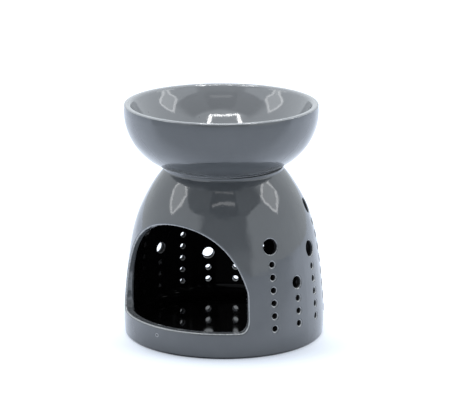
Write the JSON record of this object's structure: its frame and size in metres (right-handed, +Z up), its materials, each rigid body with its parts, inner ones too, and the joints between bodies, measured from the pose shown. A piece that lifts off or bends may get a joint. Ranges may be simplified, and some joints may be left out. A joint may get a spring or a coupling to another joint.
{
  "type": "essential oil burner",
  "caption": "Ceramic oil burner: a grey glazed dome with an arched tealight opening and columns of round holes, carrying a shallow bowl that lifts off.",
  "frame": {"origin": "centre of the base, on the surface that the burner stands on", "axes": "+Z up along the axis of the dome; the arched tealight opening faces -Y"},
  "size_m": [0.1, 0.1, 0.116],
  "materials": {
    "grey_glaze": "gloss grey glaze, paler where it runs thin over edges"
  },
  "bodies": {
    "burner_body": {"burner_body": "grey_glaze"},
    "oil_bowl": {"oil_bowl": "grey_glaze"}
  },
  "joints": [
    {"name": "bowl_lift", "type": "slide", "parent": "burner_body", "child": "oil_bowl", "axis": [0, 0, 1], "range_m": [0, 0.06]}
  ]
}
